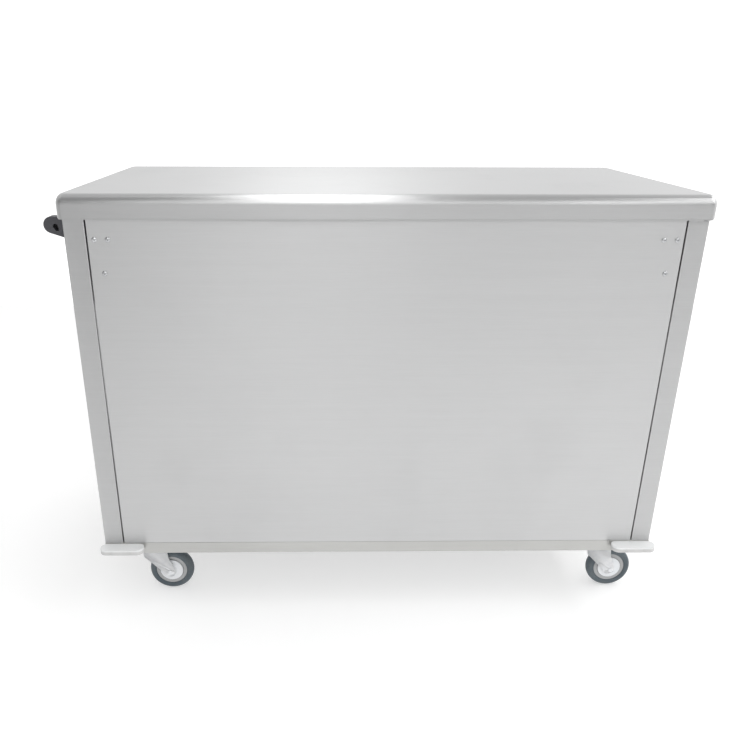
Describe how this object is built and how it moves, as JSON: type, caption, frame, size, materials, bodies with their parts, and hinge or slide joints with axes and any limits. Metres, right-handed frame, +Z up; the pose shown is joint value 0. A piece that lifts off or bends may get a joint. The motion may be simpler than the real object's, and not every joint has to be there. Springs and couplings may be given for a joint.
{
  "type": "steam table unit",
  "caption": "Mobile stainless steam table: heated wells under a lift-off flat cover, closed customer side, open storage, push handle, corner bumpers and swivel casters.",
  "frame": {"origin": "on the floor, at the middle of the footprint of the whole unit with its handle and bumpers", "axes": "+X along the length towards the end without the push handle, -Y towards the customers, +Y towards the operator, +Z up"},
  "size_m": [1.2724, 0.65, 0.914],
  "materials": {
    "brushed_top": "brushed stainless, fine grain along the length",
    "brushed_panel": "brushed stainless, fine grain along the length",
    "brushed_ends": "brushed stainless, fine upright grain",
    "brushed_deck": "brushed stainless",
    "brushed_shelf": "brushed stainless",
    "well_steel": "satin deep-drawn stainless",
    "satin_steel": "satin sheet and tube",
    "base_steel": "warm grey satin tube",
    "rivets": "dull domed rivets",
    "zinc": "bright zinc plate",
    "brass": "dull cast brass",
    "element_sheath": "heat-darkened sheath",
    "handle_plastic": "dark charcoal, lightly grained",
    "handle_bar": "dark charcoal sleeve on a steel tube",
    "knob_plastic": "black moulded",
    "inlet_plastic": "black moulded",
    "lever_grip": "red dipped grip",
    "switch_rocker": "red moulded",
    "lamp_lens": "amber lens",
    "bumper_rubber": "pale soft bumper",
    "wheel_core": "light grey moulded core",
    "tyre": "dark slate tread"
  },
  "bodies": {
    "cabinet": {"well_deck": "brushed_deck", "customer_panel": "brushed_panel", "end_panel_left": "brushed_ends", "end_panel_right": "brushed_ends", "tray_rail_plate_left": "rivets", "tray_rail_plate_right": "rivets", "base_rail_customer": "base_steel", "base_rail_operator": "base_steel", "base_channel_left": "base_steel", "base_channel_right": "base_steel", "bottom_shelf": "brushed_shelf", "well_housing": "satin_steel", "drain_manifold": "satin_steel", "drain_valve": "brass", "control_panel": "brushed_panel", "control_box": "satin_steel", "power_lamp": "lamp_lens", "power_inlet": "inlet_plastic", "handle_bracket_customer": "handle_plastic", "handle_bracket_operator": "handle_plastic", "handle_bar": "handle_bar", "well_left": "well_steel", "heating_element_left": "element_sheath", "well_middle": "well_steel", "heating_element_middle": "element_sheath", "well_right": "well_steel", "heating_element_right": "element_sheath", "bumper_customer_left": "bumper_rubber", "caster_plate_customer_left": "zinc", "bumper_customer_right": "bumper_rubber", "caster_plate_customer_right": "zinc", "bumper_operator_left": "bumper_rubber", "caster_plate_operator_left": "zinc", "bumper_operator_right": "bumper_rubber", "caster_plate_operator_right": "zinc"},
    "cover": {"top_cover": "brushed_top", "cover_stiffener": "satin_steel"},
    "knob_left": {"knob_left": "knob_plastic"},
    "knob_middle": {"knob_middle": "knob_plastic"},
    "knob_right": {"knob_right": "knob_plastic"},
    "power_switch": {"power_switch": "switch_rocker"},
    "drain_lever": {"drain_lever": "lever_grip"},
    "swivel_customer_left": {"caster_fork_customer_left": "zinc", "caster_axle_customer_left": "zinc"},
    "wheel_customer_left": {"wheel_core_customer_left": "wheel_core", "tyre_customer_left": "tyre"},
    "swivel_customer_right": {"caster_fork_customer_right": "zinc", "caster_axle_customer_right": "zinc"},
    "wheel_customer_right": {"wheel_core_customer_right": "wheel_core", "tyre_customer_right": "tyre"},
    "swivel_operator_left": {"caster_fork_operator_left": "zinc", "caster_axle_operator_left": "zinc"},
    "wheel_operator_left": {"wheel_core_operator_left": "wheel_core", "tyre_operator_left": "tyre"},
    "pedal_operator_left": {"brake_pedal_operator_left": "zinc"},
    "swivel_operator_right": {"caster_fork_operator_right": "zinc", "caster_axle_operator_right": "zinc"},
    "wheel_operator_right": {"wheel_core_operator_right": "wheel_core", "tyre_operator_right": "tyre"},
    "pedal_operator_right": {"brake_pedal_operator_right": "zinc"}
  },
  "joints": [
    {"name": "cover_lift", "type": "slide", "parent": "cabinet", "child": "cover", "axis": [0, 0, 1], "range_m": [0, 0.15]},
    {"name": "thermostat_left", "type": "hinge", "parent": "cabinet", "child": "knob_left", "pos_m": [-0.37208, 0.287, 0.7942], "axis": [0, -1, 0], "range_deg": [0, 300]},
    {"name": "thermostat_middle", "type": "hinge", "parent": "cabinet", "child": "knob_middle", "pos_m": [0.02225, 0.287, 0.7942], "axis": [0, -1, 0], "range_deg": [0, 300]},
    {"name": "thermostat_right", "type": "hinge", "parent": "cabinet", "child": "knob_right", "pos_m": [0.41658, 0.287, 0.7942], "axis": [0, -1, 0], "range_deg": [0, 300]},
    {"name": "power_rocker", "type": "hinge", "parent": "cabinet", "child": "power_switch", "pos_m": [0.51058, 0.278, 0.7942], "axis": [1, 0, 0], "range_deg": [0, 16]},
    {"name": "drain_valve_turn", "type": "hinge", "parent": "cabinet", "child": "drain_lever", "pos_m": [0.41658, 0.1703, 0.645], "axis": [0, 0, -1], "range_deg": [0, 90]},
    {"name": "caster_swivel_customer_left", "type": "hinge", "parent": "cabinet", "child": "swivel_customer_left", "pos_m": [-0.49475, -0.212, 0.1327], "axis": [0, 0, 1], "continuous": true},
    {"name": "wheel_spin_customer_left", "type": "hinge", "parent": "swivel_customer_left", "child": "wheel_customer_left", "pos_m": [-0.45675, -0.212, 0.0508], "axis": [0, 1, 0], "continuous": true},
    {"name": "caster_swivel_customer_right", "type": "hinge", "parent": "cabinet", "child": "swivel_customer_right", "pos_m": [0.53925, -0.212, 0.1327], "axis": [0, 0, 1], "continuous": true},
    {"name": "wheel_spin_customer_right", "type": "hinge", "parent": "swivel_customer_right", "child": "wheel_customer_right", "pos_m": [0.57725, -0.212, 0.0508], "axis": [0, 1, 0], "continuous": true},
    {"name": "caster_swivel_operator_left", "type": "hinge", "parent": "cabinet", "child": "swivel_operator_left", "pos_m": [-0.49475, 0.212, 0.1327], "axis": [0, 0, 1], "continuous": true},
    {"name": "wheel_spin_operator_left", "type": "hinge", "parent": "swivel_operator_left", "child": "wheel_operator_left", "pos_m": [-0.45675, 0.212, 0.0508], "axis": [0, 1, 0], "continuous": true},
    {"name": "brake_pedal_operator_left", "type": "hinge", "parent": "swivel_operator_left", "child": "pedal_operator_left", "pos_m": [-0.46675, 0.212, 0.1212], "axis": [0, 1, 0], "range_deg": [0, 14]},
    {"name": "caster_swivel_operator_right", "type": "hinge", "parent": "cabinet", "child": "swivel_operator_right", "pos_m": [0.53925, 0.212, 0.1327], "axis": [0, 0, 1], "continuous": true},
    {"name": "wheel_spin_operator_right", "type": "hinge", "parent": "swivel_operator_right", "child": "wheel_operator_right", "pos_m": [0.57725, 0.212, 0.0508], "axis": [0, 1, 0], "continuous": true},
    {"name": "brake_pedal_operator_right", "type": "hinge", "parent": "swivel_operator_right", "child": "pedal_operator_right", "pos_m": [0.56725, 0.212, 0.1212], "axis": [0, 1, 0], "range_deg": [0, 14]}
  ]
}
